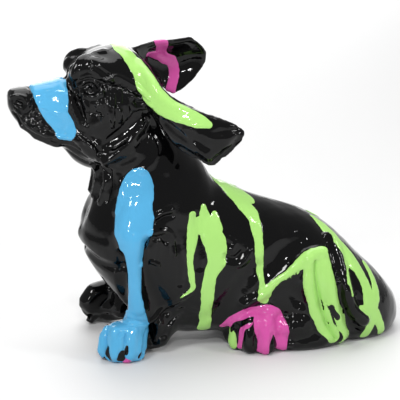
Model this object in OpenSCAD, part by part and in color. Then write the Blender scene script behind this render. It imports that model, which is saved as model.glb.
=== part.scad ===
// Sitting hound figurine: a hollow slip-cast torso and head, with solid pressed
// ears, legs and tail luted onto them. It faces -X and sits on z = 0.

/* [Overall] */
// Length from the nose to the rump
figure_length = 305; // [240:1:380]
// Height of the top of the skull
figure_height = 233; // [185:1:290]
// Width across the haunches
figure_width = 100; // [80:1:125]

/* [Castings] */
// Wall of the hollow torso and head
wall = 5; // [3:0.5:7]
// Diameter of the kiln vent under the belly
vent_d = 12; // [8:0.5:18]

/* [Limbs] */
// Thickness of an ear at its middle
ear_thickness = 5; // [4:0.5:7]
// Diameter of the forearm at its slimmest
forearm_d = 17; // [13:0.5:22]
// Outward turn of the left forepaw, in degrees
left_paw_turn = 72; // [50:1:85]
// Outward turn of the right forepaw, in degrees
right_paw_turn = 42; // [30:1:65]
// Outward turn of the hind feet, in degrees
foot_turn = 38; // [20:1:55]
// Height of the forepaws over the knuckles
paw_h = 27; // [22:0.5:32]
// Height of the hind feet over the knuckles
foot_h = 30; // [25:0.5:36]
// Diameter of one toe
toe_d = 14; // [11:0.5:17]
// Diameter of the tail at its root
tail_d = 14; // [11:0.5:18]

/* [Hidden] */
glaze = [0.05, 0.05, 0.055];

// Every place below is written for a figure of this size, as a distance behind the
// nose, from the middle and above the table, and is stretched to the size asked for.
drawn = [305, 100, 233];
stretch = [figure_length / drawn.x, figure_width / drawn.y, figure_height / drawn.z];
function placed(p) = [
    p.x * stretch.x - figure_length / 2,
    p.y * stretch.y,
    p.z * stretch.z
];
// Height of the seam where the head meets the torso.
neck_seam = placed([0, 0, 134]).z;
vent_place = placed([196, 0, 0]);
sides = 36;
inner_sides = 24;
leg_sides = 24;
ball_fn = 16;
far = 500;

// ---- Lofted forms ----
// Catmull-Rom spline through vectors of one length, with n steps between two.
function between(p, i, t) = let (
    a = p[max(i - 1, 0)], b = p[i], c = p[i + 1], d = p[min(i + 2, len(p) - 1)]
) 0.5 * (2 * b + (c - a) * t + (2 * a - 5 * b + 4 * c - d) * t * t
    + (3 * b - a - 3 * c + d) * t * t * t);
function refine(p, n) = [
    for (i = [0 : len(p) - 2], k = [0 : n - 1]) between(p, i, k / n),
    p[len(p) - 1]
];

// A station is [x, y, z, half width, rise, fall, lying, squareness]. Its ring stands
// upright, or lies flat with its rise forwards where lying is 1.
function sized(st) = let (m = st[6] < 0.5 ? stretch.z : stretch.x) concat(
    placed([st[0], st[1], st[2]]), [st[3] * stretch.y, st[4] * m, st[5] * m, st[6], st[7]]);
function bulged(v, squareness) = sign(v) * pow(abs(v), 2 / squareness);
function ring(st, n, inset) = [
    for (k = [0 : n - 1]) let (
        t = 360 * k / n,
        across = max(st[3] - inset, 1) * bulged(cos(t), st[7]),
        reach = sin(t) > 0 ? st[4] : st[5],
        along = max(reach - inset, 1) * bulged(sin(t), st[7])
    ) [st[0] - along * st[6], st[1] + across, st[2] + along * (1 - st[6])]
];
// A station from [distance behind the nose, lowest, highest, half width], widest at
// the given share of its height.
function upright(p, waist, squareness) = let (h = p[2] - p[1])
    [p[0], 0, p[1] + waist * h, p[3], (1 - waist) * h, waist * h, 0, squareness];
// Stations drawn in from both ends by the inset, along the way the rings follow.
function drawn_in(st, inset) = let (
    k = st[0][6] < 0.5 ? 0 : 2,
    low = st[0][k],
    high = st[len(st) - 1][k],
    middle = (low + high) / 2,
    factor = 1 - 2 * inset / abs(high - low)
) [for (s = st) [for (j = [0 : len(s) - 1]) j == k ? middle + (s[j] - middle) * factor : s[j]]];

// Closed skin over rings that all have n points.
module skin(rings) {
    n = len(rings[0]);
    last = len(rings) - 1;
    polyhedron(
        points = [for (r = rings, p = r) p],
        faces = concat(
            [[for (k = [0 : n - 1]) k]],
            [for (i = [0 : last - 1], k = [0 : n - 1]) let (m = (k + 1) % n)
                [i * n + k, (i + 1) * n + k, (i + 1) * n + m, i * n + m]],
            [[for (k = [n - 1 : -1 : 0]) last * n + k]]
        ),
        convexity = 8
    );
}
module loft(stations, steps = 2, n = sides, inset = 0) {
    real = drawn_in([for (st = stations) sized(st)], inset);
    skin([for (st = refine(real, steps)) ring(st, n, inset)]);
}
// A rounded roll of clay between two places.
module roll(a, b, ra, rb, fn = ball_fn) {
    hull() {
        translate(placed(a)) sphere(r = ra, $fn = fn);
        translate(placed(b)) sphere(r = rb, $fn = fn);
    }
}
// Rolls end to end along [place, radius] pairs, on the left (-1) or the right (1).
module rope(beads, side = 1) {
    for (i = [0 : len(beads) - 2])
        roll(on_side(beads[i][0], side), on_side(beads[i + 1][0], side),
            beads[i][1], beads[i + 1][1]);
}
function on_side(p, side) = [p.x, side * p.y, p.z];
module above(height) {
    translate([-far, -far, height]) cube([2 * far, 2 * far, far]);
}
module below(height) {
    translate([-far, -far, height - far]) cube([2 * far, 2 * far, far]);
}

// ---- Torso ----
// [distance behind the nose, lowest, highest, half width]
trunk_profile = [
    [51, 84, 94, 6], [53, 76, 106, 15], [58, 66, 116, 24], [67, 52, 123, 32],
    [80, 35, 126, 37], [96, 20, 128, 40], [116, 9, 128, 41], [140, 6, 128, 42],
    [162, 6, 123.5, 42], [184, 4, 113, 43], [208, 0, 104.5, 45], [230, -8, 96, 47],
    [250, -11, 82, 48], [270, -11, 62, 45], [286, -9, 46, 37], [296, -4, 34, 27],
    [302, 3, 26, 17], [305, 10, 17, 7]
];
trunk_waist = 0.42;
trunk_square = 2.4;
trunk = [for (p = trunk_profile) upright(p, trunk_waist, trunk_square)];
// [height, front, back, half width]
neck_profile = [
    [92, 53, 170, 38], [108, 57, 163, 38], [124, 61, 155, 36], [138, 63, 147, 33],
    [154, 66, 136, 29], [170, 71, 124, 25], [186, 78, 113, 20], [198, 86, 106, 13]
];
neck_square = 2.3;
neck = [for (p = neck_profile) let (half = (p[2] - p[1]) / 2)
    [(p[1] + p[2]) / 2, 0, p[0], p[3], half, half, 1, neck_square]];
// Flesh under the coat on each flank, as ropes that swell the trunk.
shoulder = [[[112, 20, 108], 18], [[98, 26, 94], 18], [[98, 29, 72], 15], [[104, 26, 46], 13],
    [[109, 22, 22], 15]];
haunch = [[[202, 24, 62], 20], [[224, 27, 56], 21], [[240, 28, 32], 20], [[214, 28, 24], 20]];

module flanks() {
    for (side = [-1, 1], line = [shoulder, haunch]) rope(line, side);
}
module body_form() {
    difference() {
        union() {
            loft(trunk);
            loft(neck);
            flanks();
        }
        below(0);
    }
}
module hollow() {
    difference() {
        union() {
            loft(trunk, 1, inner_sides, wall);
            loft(neck, 1, inner_sides, wall);
            loft(skull, 1, inner_sides, wall);
        }
        below(wall);
    }
}
module torso() {
    color(glaze) difference() {
        body_form();
        above(neck_seam);
        hollow();
        translate(vent_place - [0, 0, wall]) cylinder(d = vent_d, h = 4 * wall, $fn = 48);
    }
}

// ---- Head ----
// [distance behind the nose, lowest, highest, half width]
skull_profile = [
    [0, 190, 200, 6], [2.5, 184, 203, 10], [8, 177, 204, 13], [16, 170, 204.5, 15],
    [28, 165, 206.5, 17], [38, 159, 209, 19], [44, 151, 214, 20], [50, 145, 221, 23],
    [58, 141, 227, 26], [68, 138.5, 231, 28], [79, 138.5, 233, 29], [90, 141, 230.5, 28],
    [100, 146, 223, 25], [109, 154, 210, 20], [115, 164, 197, 12]
];
skull_waist = 0.55;
skull_square = 2.4;
skull = [for (p = skull_profile) upright(p, skull_waist, skull_square)];
brow = [[[50, 14, 216], 8], [[60, 17, 219], 9], [[72, 18, 215], 10]];
cheek = [[[62, 19, 178], 9], [[78, 22, 186], 10], [[92, 19, 196], 11]];
flew = [[[13, 9, 180], 7], [[24, 11, 173], 7], [[38, 13, 168], 7]];

module head_form() {
    loft(skull);
    for (side = [-1, 1], line = [brow, cheek, flew]) rope(line, side);
    difference() {
        loft(neck);
        below(neck_seam);
    }
}
module head() {
    color(glaze) difference() {
        head_form();
        hollow();
    }
}

// ---- Ears ----
// A flap of leather-hard clay over a grid of places, rounded off at its rim.
module flap(grid, steps_u = 4, steps_v = 3) {
    rows = [for (row = grid) [for (p = row) placed(p)]];
    sheet = [for (row = refine(rows, steps_u)) refine(row, steps_v)];
    nu = len(sheet) - 1;
    nv = len(sheet[0]) - 1;
    function normal(i, k) = let (
        du = sheet[min(i + 1, nu)][k] - sheet[max(i - 1, 0)][k],
        dv = sheet[i][min(k + 1, nv)] - sheet[i][max(k - 1, 0)],
        c = cross(du, dv)
    ) c / norm(c);
    rim = 0.3;
    function rounded(t) = sqrt(max(0, 1 - pow(abs(2 * t - 1), 5)));
    function half(i, k) = ear_thickness / 2
        * max(rim, rounded(k / nv) * rounded((i + nu) / (2 * nu)));
    skin([for (i = [0 : nu]) concat(
        [for (k = [0 : nv]) sheet[i][k] - normal(i, k) * half(i, k)],
        [for (k = [nv : -1 : 0]) sheet[i][k] + normal(i, k) * half(i, k)])]);
}
// Rows from the root to the tip, each from the top edge to the bottom edge.
left_ear_grid = [
    [[84, -12, 226], [91, -20, 217], [95, -24, 207], [96, -24, 197]],
    [[101, -20, 218], [102, -33, 208], [103, -39, 195], [104, -34, 183]],
    [[112, -32, 202], [114, -46, 193], [115, -49, 180], [115, -40, 165]],
    [[133, -43, 191], [134, -54, 182], [132, -57, 167], [131, -49, 154]],
    [[152, -48, 184], [153, -55, 176], [150, -56, 164], [144, -50, 150]],
    [[168, -50, 175], [167, -53, 171], [163, -54, 166], [157, -52, 160]]
];
right_ear_grid = [
    [[88, 8, 228], [95, 18, 220], [101, 22, 209], [106, 18, 198]],
    [[110, 21, 231], [117, 37, 220], [121, 41, 205], [121, 33, 192]],
    [[128, 27, 231], [134, 44, 218], [134, 46, 202], [129, 34, 187]],
    [[143, 30, 231], [151, 45, 218], [149, 44, 203], [139, 35, 190]],
    [[152, 33, 226], [160, 42, 215], [157, 42, 206], [148, 37, 198]]
];
module left_ear() {
    color(glaze) difference() {
        flap(left_ear_grid);
        head_form();
    }
}
module right_ear() {
    color(glaze) difference() {
        flap(right_ear_grid);
        head_form();
    }
}

// ---- Paws and legs ----
// Blunt toes fanned about a turn outwards from straight ahead.
module paw(side, centre, turn, reach, high, toes = 4, fan = 96) {
    r = toe_d / 2;
    for (k = [0 : toes - 1]) {
        a = turn + fan * (k / (toes - 1) - 0.5);
        shift = [-cos(a), side * sin(a), 0];
        knuckle = high - r;
        translate(placed(centre)) hull()
            for (at = [[reach, 0.8 * r], [reach - 4, knuckle], [3, knuckle]])
                translate(shift * at[0] + [0, 0, at[1]]) sphere(r = r, $fn = ball_fn);
    }
}
// [height, place behind the nose, half front to back, outward, half width]
foreleg_profile = [
    [6, 87, 10, 29, 10], [18, 87, 9.6, 30, 9.6], [31, 88, forearm_d / 2, 32, forearm_d / 2],
    [46, 88.5, forearm_d / 2, 34, forearm_d / 2], [60, 89.5, 10, 34.5, 9.5],
    [76, 91, 13.5, 34, 11], [96, 88, 16.5, 34, 11], [114, 89, 13, 32, 9], [128, 90, 7, 28, 6]
];
leg_square = 2.2;
paw_reach = 15;
module foreleg_form(side, paw_centre, turn) {
    loft([for (p = foreleg_profile)
        [p[1], side * p[3], p[0], p[4], p[2], p[2], 1, leg_square]], 2, leg_sides);
    paw(side, paw_centre, turn, paw_reach, paw_h);
    roll(paw_centre + [2, 0, 12], [87, side * 30, 14], 11, 9);
}
module left_foreleg() {
    color(glaze) difference() {
        foreleg_form(-1, [79, -28, 0], left_paw_turn);
        body_form();
        below(0);
    }
}
module right_foreleg() {
    color(glaze) difference() {
        foreleg_form(1, [75, 40, 0], right_paw_turn);
        body_form();
        below(0);
    }
}

// Pleats of the folded thigh, from the knee down to the heel.
front_pleat = [[[224, 40, 70], 7], [[215, 43, 50], 8], [[219, 44, 30], 8], [[230, 42, 10], 8]];
rear_pleat = [[[228, 40, 72], 6], [[232, 44, 50], 8], [[237, 44, 30], 8], [[244, 41, 10], 8]];
shin = [[[222, 40, 68], 7], [[204, 39, 52], 8], [[188, 35, 26], 11]];
calf = [[[195, 33, 19], 14], [[208, 37, 17], 14], [[232, 37, 12], 13]];
thigh = [[[222, 38, 62], 9], [[204, 36, 36], 11], [[232, 38, 26], 11], [[206, 37, 18], 13],
    [[236, 36, 14], 13]];
foot_reach = 23;
module hind_leg_form(side) {
    for (line = [front_pleat, rear_pleat, shin, calf, thigh]) rope(line, side);
    paw(side, [187, side * 27, 0], foot_turn, foot_reach, foot_h);
}
module left_hind_leg() {
    color(glaze) difference() {
        hind_leg_form(-1);
        body_form();
        tail_form();
        below(0);
    }
}
module right_hind_leg() {
    color(glaze) difference() {
        hind_leg_form(1);
        body_form();
        below(0);
    }
}

// ---- Tail ----
// Laid up along the left haunch, as [place, share of the root's radius].
tail_line = [[[276, -34, 10], 1.1], [[262, -42, 16], 1], [[252, -46, 30], 0.86],
    [[247, -46, 46], 0.72], [[244, -41, 60], 0.6], [[240, -31, 73], 0.45]];
module tail_form() {
    rope([for (b = tail_line) [b[0], b[1] * tail_d / 2]]);
}
module tail() {
    color(glaze) difference() {
        tail_form();
        body_form();
        below(0);
    }
}

torso();
head();
left_ear();
right_ear();
left_foreleg();
right_foreleg();
left_hind_leg();
right_hind_leg();
tail();
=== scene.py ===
"""Sitting hound in glazed earthenware.

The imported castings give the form. Their copies are fused into one skin, which is
modelled with strokes as a sculptor works clay, glazed, poured with enamel, and
parted again along the castings' own seams.
"""

import math

import bmesh
import bpy
import numpy as np
from bpy.props import FloatProperty, FloatVectorProperty, IntProperty, PointerProperty
from mathutils import Matrix, Vector
from mathutils.bvhtree import BVHTree


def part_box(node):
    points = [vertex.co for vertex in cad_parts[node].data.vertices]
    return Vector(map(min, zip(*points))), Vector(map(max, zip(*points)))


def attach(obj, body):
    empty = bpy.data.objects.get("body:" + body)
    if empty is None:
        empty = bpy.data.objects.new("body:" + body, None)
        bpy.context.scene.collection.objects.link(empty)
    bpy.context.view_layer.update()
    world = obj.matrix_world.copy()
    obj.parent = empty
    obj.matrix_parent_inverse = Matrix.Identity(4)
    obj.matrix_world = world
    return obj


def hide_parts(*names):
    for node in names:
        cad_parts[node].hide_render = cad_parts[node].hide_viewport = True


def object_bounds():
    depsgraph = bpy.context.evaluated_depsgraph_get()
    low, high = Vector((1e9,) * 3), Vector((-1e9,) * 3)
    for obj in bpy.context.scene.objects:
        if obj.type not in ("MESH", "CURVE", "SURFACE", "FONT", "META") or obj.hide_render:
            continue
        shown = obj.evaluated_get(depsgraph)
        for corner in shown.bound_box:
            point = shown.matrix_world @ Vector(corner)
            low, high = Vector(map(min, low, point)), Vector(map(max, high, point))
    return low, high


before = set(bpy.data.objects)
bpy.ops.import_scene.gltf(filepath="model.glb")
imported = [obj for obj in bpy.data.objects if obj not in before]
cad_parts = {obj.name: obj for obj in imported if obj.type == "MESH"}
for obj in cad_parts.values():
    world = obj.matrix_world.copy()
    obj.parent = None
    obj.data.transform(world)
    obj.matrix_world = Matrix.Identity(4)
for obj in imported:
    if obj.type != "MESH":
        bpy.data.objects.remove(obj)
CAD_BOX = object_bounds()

bl_info = {
    "name": "Glazed Hound",
    "version": (1, 0, 0),
    "blender": (4, 5, 0),
    "location": "View3D > Sidebar > Hound",
    "description": "Models, glazes and stages a sitting hound figurine",
    "category": "Object",
}

# Places are written as the castings' are: millimetres behind the nose, from the middle
# and above the table, on a figure 305 mm long, 122 mm wide and 233 mm high. The near
# side, with the hanging ear and the tail, is the negative one.
DRAWN = np.array([305.0, 121.8, 233.0])
LOW = np.array(CAD_BOX[0], float)
SPAN = np.array(CAD_BOX[1], float) - LOW
SCALE = SPAN / DRAWN
ZERO = np.array([LOW[0], 0.0, LOW[2]])
SKIN = "hound_skin"
NODES = sorted(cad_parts)

# Space between the points of a stroke's line, and the least radius of one.
BEAD_STEP = 1.0
LEAST_RADIUS = 0.3
# Skin is left alone where the product of its normal and the stroke's is below this, as
# on the other face of an ear.
TURNED_AWAY = -0.15
# Pairs of vertex and point that are measured at once, to spare memory.
PAIRS_AT_ONCE = 4000000


def to_frame(points):
    """Drawn millimetres to the row frame, in metres."""
    return np.asarray(points, float) * SCALE + ZERO


def to_drawn(points):
    """The row frame, in metres, to drawn millimetres."""
    return (np.asarray(points, float) - ZERO) / SCALE


# ---- Tools for modelling ----
class Skin:
    """The figure's outer skin as arrays of drawn millimetres."""

    def __init__(self):
        self.mesh = bpy.data.objects[SKIN].data
        count = len(self.mesh.vertices)
        flat = np.empty(count * 3, np.float32)
        self.mesh.vertices.foreach_get("co", flat)
        self.p = to_drawn(flat.reshape(-1, 3))
        loops = np.empty(len(self.mesh.loops), np.int32)
        self.mesh.loops.foreach_get("vertex_index", loops)
        sizes = np.empty(len(self.mesh.polygons), np.int32)
        self.mesh.polygons.foreach_get("loop_total", sizes)
        if not (sizes == 4).all():
            raise RuntimeError("the skin has to be all quads")
        self.quads = loops.reshape(-1, 4)
        self.measure()

    def measure(self):
        """Works out the vertex normals and the tree that finds the surface."""
        q = self.p[self.quads]
        face = np.cross(q[:, 2] - q[:, 0], q[:, 3] - q[:, 1])
        self.n = np.zeros_like(self.p)
        for axis in range(3):
            share = np.repeat(face[:, axis], 4)
            self.n[:, axis] = np.bincount(self.quads.ravel(), share, len(self.p))
        self.n /= np.linalg.norm(self.n, axis=1)[:, None] + 1e-12
        self.tree = BVHTree.FromPolygons(self.p.tolist(), self.quads.tolist())

    def save(self):
        flat = to_frame(self.p).astype(np.float32).ravel()
        self.mesh.vertices.foreach_set("co", flat)
        self.mesh.update()

    def attribute(self, name, values, kind="FLOAT"):
        """Stores one value per vertex on the mesh."""
        layer = self.mesh.attributes.get(name)
        layer = layer or self.mesh.attributes.new(name, kind, "POINT")
        field = "vector" if kind == "FLOAT_VECTOR" else "value"
        layer.data.foreach_set(field, np.asarray(values, np.float32).ravel())

    def stroke(self, beads):
        """Points, normals and radii along a smooth line laid on the surface.

        Each bead is (behind nose, from middle, height, radius).
        """
        beads = smooth_line(np.array(beads, float))
        found = [self.tree.find_nearest(Vector(bead[:3])) for bead in beads]
        points = np.array([tuple(f[0]) for f in found])
        normals = np.array([tuple(f[1]) for f in found])
        return points, normals, beads[:, 3]

    def gap(self, line, reach, outside):
        """Distance to the nearest bead, in bead radii or beyond its edge in millimetres."""
        points, normals, radii = line
        far = radii.max() + reach
        low, high = points.min(0) - far, points.max(0) + far
        near = np.where(((self.p > low) & (self.p < high)).all(1))[0]
        result = np.full(len(self.p), reach if outside else 1.0)
        for part in np.array_split(near, max(1, len(near) * len(points) // PAIRS_AT_ONCE)):
            gap = np.linalg.norm(self.p[part, None] - points[None], axis=2)
            gap = gap - radii[None] if outside else gap / radii[None]
            gap[self.n[part] @ normals.T < TURNED_AWAY] = reach if outside else 1.0
            result[part] = np.minimum(gap.min(1), result[part])
        return result

    def work(self, strokes):
        """Raises or presses the skin along (height, beads) strokes, all at once.

        A stroke of three parts is (height, "both", beads) and is made on both sides.
        """
        move = np.zeros(len(self.p))
        for height, *mirrored, beads in strokes:
            for side in (1, -1) if mirrored else (1,):
                line = self.stroke([(d, y * side, z, r) for d, y, z, r in beads])
                share = 1.0 - self.gap(line, 0.0, False) ** 2
                move += height * share * share
        self.p += self.n * move[:, None]
        self.measure()

    def relax(self, weight, passes):
        """Moves each vertex up to half way to its neighbours' middle, by its weight."""
        for _ in range(passes):
            total = np.zeros_like(self.p)
            count = np.zeros(len(self.p))
            for k in range(4):
                a, b = self.quads[:, k], self.quads[:, (k + 1) % 4]
                for i, j in ((a, b), (b, a)):
                    count += np.bincount(i, minlength=len(self.p))
                    for axis in range(3):
                        total[:, axis] += np.bincount(i, self.p[j, axis], len(self.p))
            self.p += (total / count[:, None] - self.p) * (0.5 * weight)[:, None]
        self.measure()

    def near(self, centre, radii):
        """Bell weight of an ellipsoid about a place, 1 in its middle and 0 at its edge."""
        gap = ((self.p - np.array(centre)) / np.array(radii)) ** 2
        share = np.clip(1.0 - gap.sum(1), 0, 1)
        return share * share

    def soften(self, patches):
        """Relaxes (centre, radii, strength, passes) patches of the skin.

        A patch that starts with "both" is softened on both sides.
        """
        for *mirrored, centre, radii, strength, passes in patches:
            for side in (1, -1) if mirrored else (1,):
                bell = self.near((centre[0], side * centre[1], centre[2]), radii)
                self.relax(np.minimum(strength * bell, 1), passes)


def smooth_line(beads):
    """Catmull-Rom curve through the beads, with a point about every BEAD_STEP."""
    if len(beads) == 1:
        return beads
    ends = np.vstack([2 * beads[0] - beads[1], beads, 2 * beads[-1] - beads[-2]])
    out = []
    for a, b, c, d in zip(ends, ends[1:], ends[2:], ends[3:]):
        count = max(2, int(np.linalg.norm((c - b)[:3]) / BEAD_STEP))
        for t in np.arange(count) / count:
            out.append(0.5 * (2 * b + (c - a) * t + (2 * a - 5 * b + 4 * c - d) * t**2
                              + (3 * b - a - 3 * c + d) * t**3))
    out.append(beads[-1])
    result = np.array(out)
    result[:, 3] = np.maximum(result[:, 3], LEAST_RADIUS)
    return result


def ripple(points, wavelength, seed):
    """Smooth noise, mostly from -1 to 1, at each point, out of nine crossed sine waves.

    Each wave is bent along the figure, so that no straight crests show.
    """
    waves = 9
    draw = np.random.default_rng(seed)
    total = np.zeros(len(points))
    for _ in range(waves):
        direction = draw.normal(size=3)
        direction /= np.linalg.norm(direction)
        length = wavelength * draw.uniform(0.7, 1.5)
        phase = draw.uniform(0, 2 * math.pi)
        bend = np.sin(points[:, 0] / wavelength * 0.9 + phase) * 0.8
        total += np.sin(points @ direction * (2 * math.pi / length) + phase + bend)
    return total / math.sqrt(waves * 0.5) / 1.6


def ripples(points, layers):
    """The sum of ripples given as (height, wavelength, seed)."""
    return sum(height * ripple(points, wavelength, seed) for height, wavelength, seed in layers)


def finish_mesh(bm, name):
    """Turns a bmesh into a new object at the origin."""
    mesh = bpy.data.meshes.new(name)
    bm.to_mesh(mesh)
    bm.free()
    thing = bpy.data.objects.new(name, mesh)
    bpy.context.scene.collection.objects.link(thing)
    return thing


def add_part(bm, part):
    """Adds one bmesh to another and frees it."""
    mesh = bpy.data.meshes.new("part")
    part.to_mesh(mesh)
    part.free()
    bm.from_mesh(mesh)
    bpy.data.meshes.remove(mesh)


def add_copy(bm, node):
    """Adds a merged copy of a casting."""
    part = bmesh.new()
    part.from_mesh(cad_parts[node].data)
    bmesh.ops.remove_doubles(part, verts=part.verts, dist=MERGE)
    add_part(bm, part)


def add_roll(bm, start, end, radius_start, radius_end):
    """Adds a rounded roll of clay between two drawn places."""
    part = bmesh.new()
    for centre, radius in ((start, radius_start), (end, radius_end)):
        place = Matrix.Translation(Vector(to_frame(centre)))
        bmesh.ops.create_icosphere(part, subdivisions=2, radius=radius * SCALE.mean(), matrix=place)
    hull = bmesh.ops.convex_hull(part, input=part.verts[:])
    inside = [v for v in hull["geom_interior"] if isinstance(v, bmesh.types.BMVert)]
    bmesh.ops.delete(part, geom=inside, context="VERTS")
    add_part(bm, part)


def add_rope(bm, beads, sides=(1,)):
    """Adds rolls end to end along (behind nose, from middle, height, radius) beads."""
    for side in sides:
        for a, b in zip(beads, beads[1:]):
            add_roll(bm, (a[0], side * a[1], a[2]), (b[0], side * b[1], b[2]), a[3], b[3])


def apply_modifiers(thing):
    """Puts the evaluated mesh in the place of the object's own."""
    graph = bpy.context.evaluated_depsgraph_get()
    mesh = bpy.data.meshes.new_from_object(thing.evaluated_get(graph))
    old = thing.data
    thing.modifiers.clear()
    thing.data = mesh
    bpy.data.meshes.remove(old)


def keep_longest(thing):
    """Drops every island but the one that is longest from nose to tail."""
    bm = bmesh.new()
    bm.from_mesh(thing.data)
    unseen = set(bm.verts)
    islands = []
    while unseen:
        pile = [unseen.pop()]
        island = list(pile)
        while pile:
            for edge in pile.pop().link_edges:
                for vert in edge.verts:
                    if vert in unseen:
                        unseen.remove(vert)
                        pile.append(vert)
                        island.append(vert)
        islands.append(island)
    islands.sort(key=lambda i: max(v.co.x for v in i) - min(v.co.x for v in i))
    for island in islands[:-1]:
        bmesh.ops.delete(bm, geom=island, context="VERTS")
    bm.to_mesh(thing.data)
    bm.free()
    thing.data.update()


# ---- Settings ----
class HoundClay(bpy.types.PropertyGroup):
    """Sizes of the modelling."""

    skin_step: FloatProperty(name="Skin step", description="Spacing of the skin before it is refined",
                             default=0.00195, min=0.001, max=0.01, unit="LENGTH")
    blend_passes: IntProperty(name="Blend passes", description="How softly the castings flow together",
                              default=14, min=0, max=100)
    enamel_depth: FloatProperty(name="Enamel depth", description="How far the enamel stands proud",
                                default=0.00055, min=0.0, max=0.002, unit="LENGTH")


class HoundGlaze(bpy.types.PropertyGroup):
    """Colours of the finish."""

    black: FloatVectorProperty(name="Black glaze", description="Colour of the ground glaze",
                               subtype="COLOR", size=3, default=(0.001, 0.001, 0.0012))
    blue: FloatVectorProperty(name="Blue enamel", description="Colour of the blue runs",
                              subtype="COLOR", size=3, default=(0.085, 0.375, 0.64))
    green: FloatVectorProperty(name="Green enamel", description="Colour of the green runs",
                               subtype="COLOR", size=3, default=(0.36, 0.66, 0.17))
    magenta: FloatVectorProperty(name="Magenta enamel", description="Colour of the magenta runs",
                                 subtype="COLOR", size=3, default=(0.58, 0.08, 0.33))
    roughness: FloatProperty(name="Roughness", description="Roughness of the glaze",
                             subtype="FACTOR", default=0.05, min=0.0, max=1.0)


class HoundStage(bpy.types.PropertyGroup):
    """Place and view of the camera."""

    azimuth: FloatProperty(name="Azimuth", description="Angle of the camera about the figure",
                           subtype="ANGLE", default=math.radians(-12))
    elevation: FloatProperty(name="Elevation", description="Angle of the camera above the table",
                             subtype="ANGLE", default=math.radians(16))
    distance: FloatProperty(name="Distance", description="From the camera to the figure",
                            unit="LENGTH", default=1.0)
    field: FloatProperty(name="Field", description="Width that the camera sees at the figure",
                         unit="LENGTH", default=0.308)


# ---- Fused skin ----
BOTH = (-1, 1)
# The vent's place and its plug's height are drawn, and the plug's sizes are in metres.
VENT = (196, 0)
PLUG_HEIGHT = 9.5
PLUG_RADIUS = 0.012
PLUG_DEPTH = 0.005
# Doubles of a casting's loose triangles lie closer than this, in metres.
MERGE = 1e-6
# Fine places are blended only in the first few passes.
FINE_PASSES = 3
# How far the skin may lie outside its casting's box, in metres.
CASTING_REACH = 0.012
# Passes that even out the seams.
SEAM_PASSES = 5


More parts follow.
